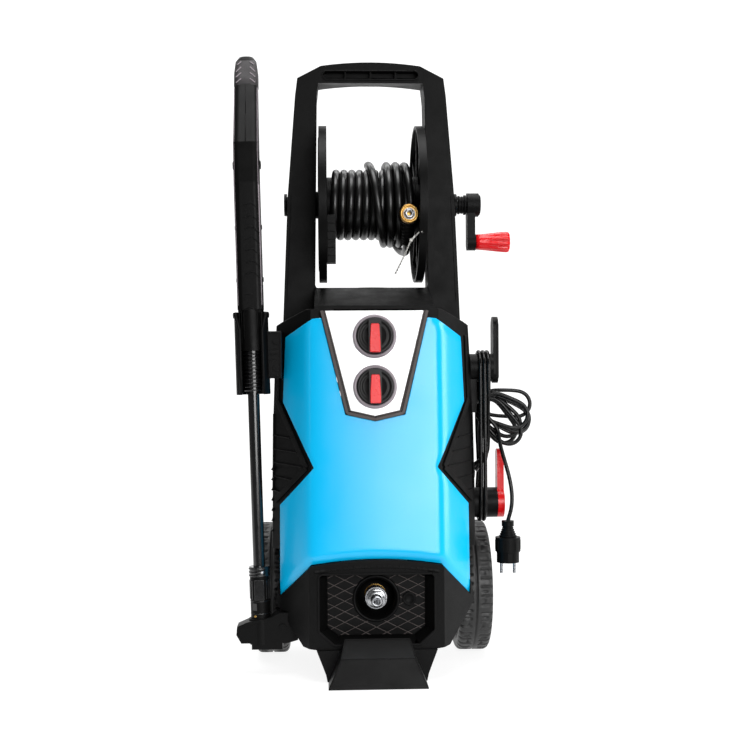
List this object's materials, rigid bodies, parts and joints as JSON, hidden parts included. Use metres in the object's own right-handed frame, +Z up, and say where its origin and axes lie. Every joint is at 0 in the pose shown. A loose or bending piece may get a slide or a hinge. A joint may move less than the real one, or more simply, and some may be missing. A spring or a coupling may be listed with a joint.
{
  "type": "pressure washer",
  "caption": "Upright wheeled pressure washer with a hose reel in its tall handle, a gloss front cover, knobs, a gun and lance at one side, cord hooks at the other and a front water connection.",
  "frame": {"origin": "on the floor, on the machine's middle plane, under the middle of the body and handle", "axes": "+X to the right as seen from the front, -Y to the front (the side with the knobs), +Z up"},
  "size_m": [0.4469, 0.338, 0.91],
  "materials": {
    "blue_shell": "gloss moulded ABS with a soft colour fade",
    "silver_panel": "satin silver panel",
    "black_shell": "fine-textured satin moulded plastic",
    "black_gloss": "smooth satin plastic",
    "red_plastic": "smooth gloss plastic",
    "cord_black": "satin PVC",
    "hose_black": "satin hose rubber",
    "tyre_black": "matt moulded tyre",
    "steel": "turned and plated",
    "brass": "turned",
    "alloy": "cast",
    "copper_rotor": "laminated and wound",
    "mount_rubber": "moulded",
    "tie_white": "nylon",
    "box_grey": "moulded"
  },
  "bodies": {
    "root": {"front_cover": "blue_shell", "control_panel": "silver_panel", "panel_trim": "black_gloss", "left_side_frame": "black_shell", "right_side_frame": "black_shell", "rear_housing": "black_shell", "lower_front_panel": "black_shell", "front_foot": "black_shell", "base_plate": "black_shell", "handle_frame": "black_shell", "handle_rear_cover": "black_shell", "reel_bushes": "black_gloss", "switch_box": "box_grey", "capacitor": "alloy", "motor_casing": "alloy", "motor_end_cap": "alloy", "pump_block": "alloy", "pump_head": "brass", "inlet_fitting": "steel", "outlet_pipe": "cord_black", "motor_mounts": "mount_rubber", "gun_holster": "black_shell", "lance_cup": "black_shell", "holder_screws": "steel", "wheel_axle": "steel", "upper_hook": "black_shell", "lower_hook_post": "black_shell", "cord_gland": "cord_black", "cord_lead": "cord_black", "cord_winding": "cord_black", "cord_bundle": "cord_black", "cord_tail": "cord_black", "plug_body": "cord_black", "plug_pins": "steel"},
    "left_wheel": {"left_tyre": "tyre_black", "left_rim": "black_shell"},
    "right_wheel": {"right_tyre": "tyre_black", "right_rim": "black_shell"},
    "reel": {"reel_drum": "black_shell", "left_flange": "black_gloss", "right_flange": "black_gloss", "reel_shaft": "steel", "hose_coil": "hose_black", "hose_fitting": "brass", "hose_nut": "black_gloss", "crank_arm": "black_shell", "cable_tie": "tie_white"},
    "grip": {"crank_grip": "red_plastic"},
    "power_dial": {"power_knob": "black_gloss", "power_pointer": "red_plastic"},
    "pressure_dial": {"pressure_knob": "black_gloss", "pressure_pointer": "red_plastic"},
    "hook_arm": {"lower_hook_arm": "red_plastic"},
    "gun": {"gun_body": "black_shell", "lance_collar": "cord_black", "lance_tube": "black_gloss"},
    "gun_trigger": {"trigger": "black_gloss"},
    "nozzle": {"nozzle_sleeve": "black_gloss", "nozzle_tip": "black_gloss"},
    "motor_rotor": {"rotor": "copper_rotor"}
  },
  "joints": [
    {"name": "left_wheel_spin", "type": "hinge", "parent": "root", "child": "left_wheel", "pos_m": [-0.153, 0.072, 0.1], "axis": [1, 0, 0], "continuous": true},
    {"name": "right_wheel_spin", "type": "hinge", "parent": "root", "child": "right_wheel", "pos_m": [0.153, 0.072, 0.1], "axis": [1, 0, 0], "continuous": true},
    {"name": "reel_spin", "type": "hinge", "parent": "root", "child": "reel", "pos_m": [0, 0.036, 0.69], "axis": [1, 0, 0], "continuous": true},
    {"name": "grip_spin", "type": "hinge", "parent": "reel", "child": "grip", "pos_m": [0.186, 0.036, 0.633], "axis": [1, 0, 0], "continuous": true},
    {"name": "power_turn", "type": "hinge", "parent": "root", "child": "power_dial", "pos_m": [0, -0.09209, 0.484], "axis": [0, -0.9962, 0.0872], "range_deg": [0, 90]},
    {"name": "pressure_turn", "type": "hinge", "parent": "root", "child": "pressure_dial", "pos_m": [0, -0.09839, 0.412], "axis": [0, -0.9962, 0.0872], "range_deg": [-135, 135]},
    {"name": "hook_turn", "type": "hinge", "parent": "root", "child": "hook_arm", "pos_m": [0.19, 0, 0.236], "axis": [-1, 0, 0], "range_deg": [0, 180]},
    {"name": "gun_lift", "type": "slide", "parent": "root", "child": "gun", "axis": [-0.0262, 0, 0.9997], "range_m": [0, 0.3]},
    {"name": "trigger_pull", "type": "hinge", "parent": "gun", "child": "gun_trigger", "pos_m": [-0.18301, -0.05, 0.73576], "axis": [0.9997, 0, 0.0262], "range_deg": [0, 12], "stiffness_Nm_per_rad": 0.5, "springref_deg": -17.19},
    {"name": "nozzle_twist", "type": "hinge", "parent": "gun", "child": "nozzle", "pos_m": [-0.16657, -0.064, 0.10798], "axis": [-0.0262, 0, 0.9997], "range_deg": [0, 90]},
    {"name": "rotor_spin", "type": "hinge", "parent": "root", "child": "motor_rotor", "pos_m": [0, 0, 0.28], "axis": [0, 0, 1], "continuous": true}
  ]
}
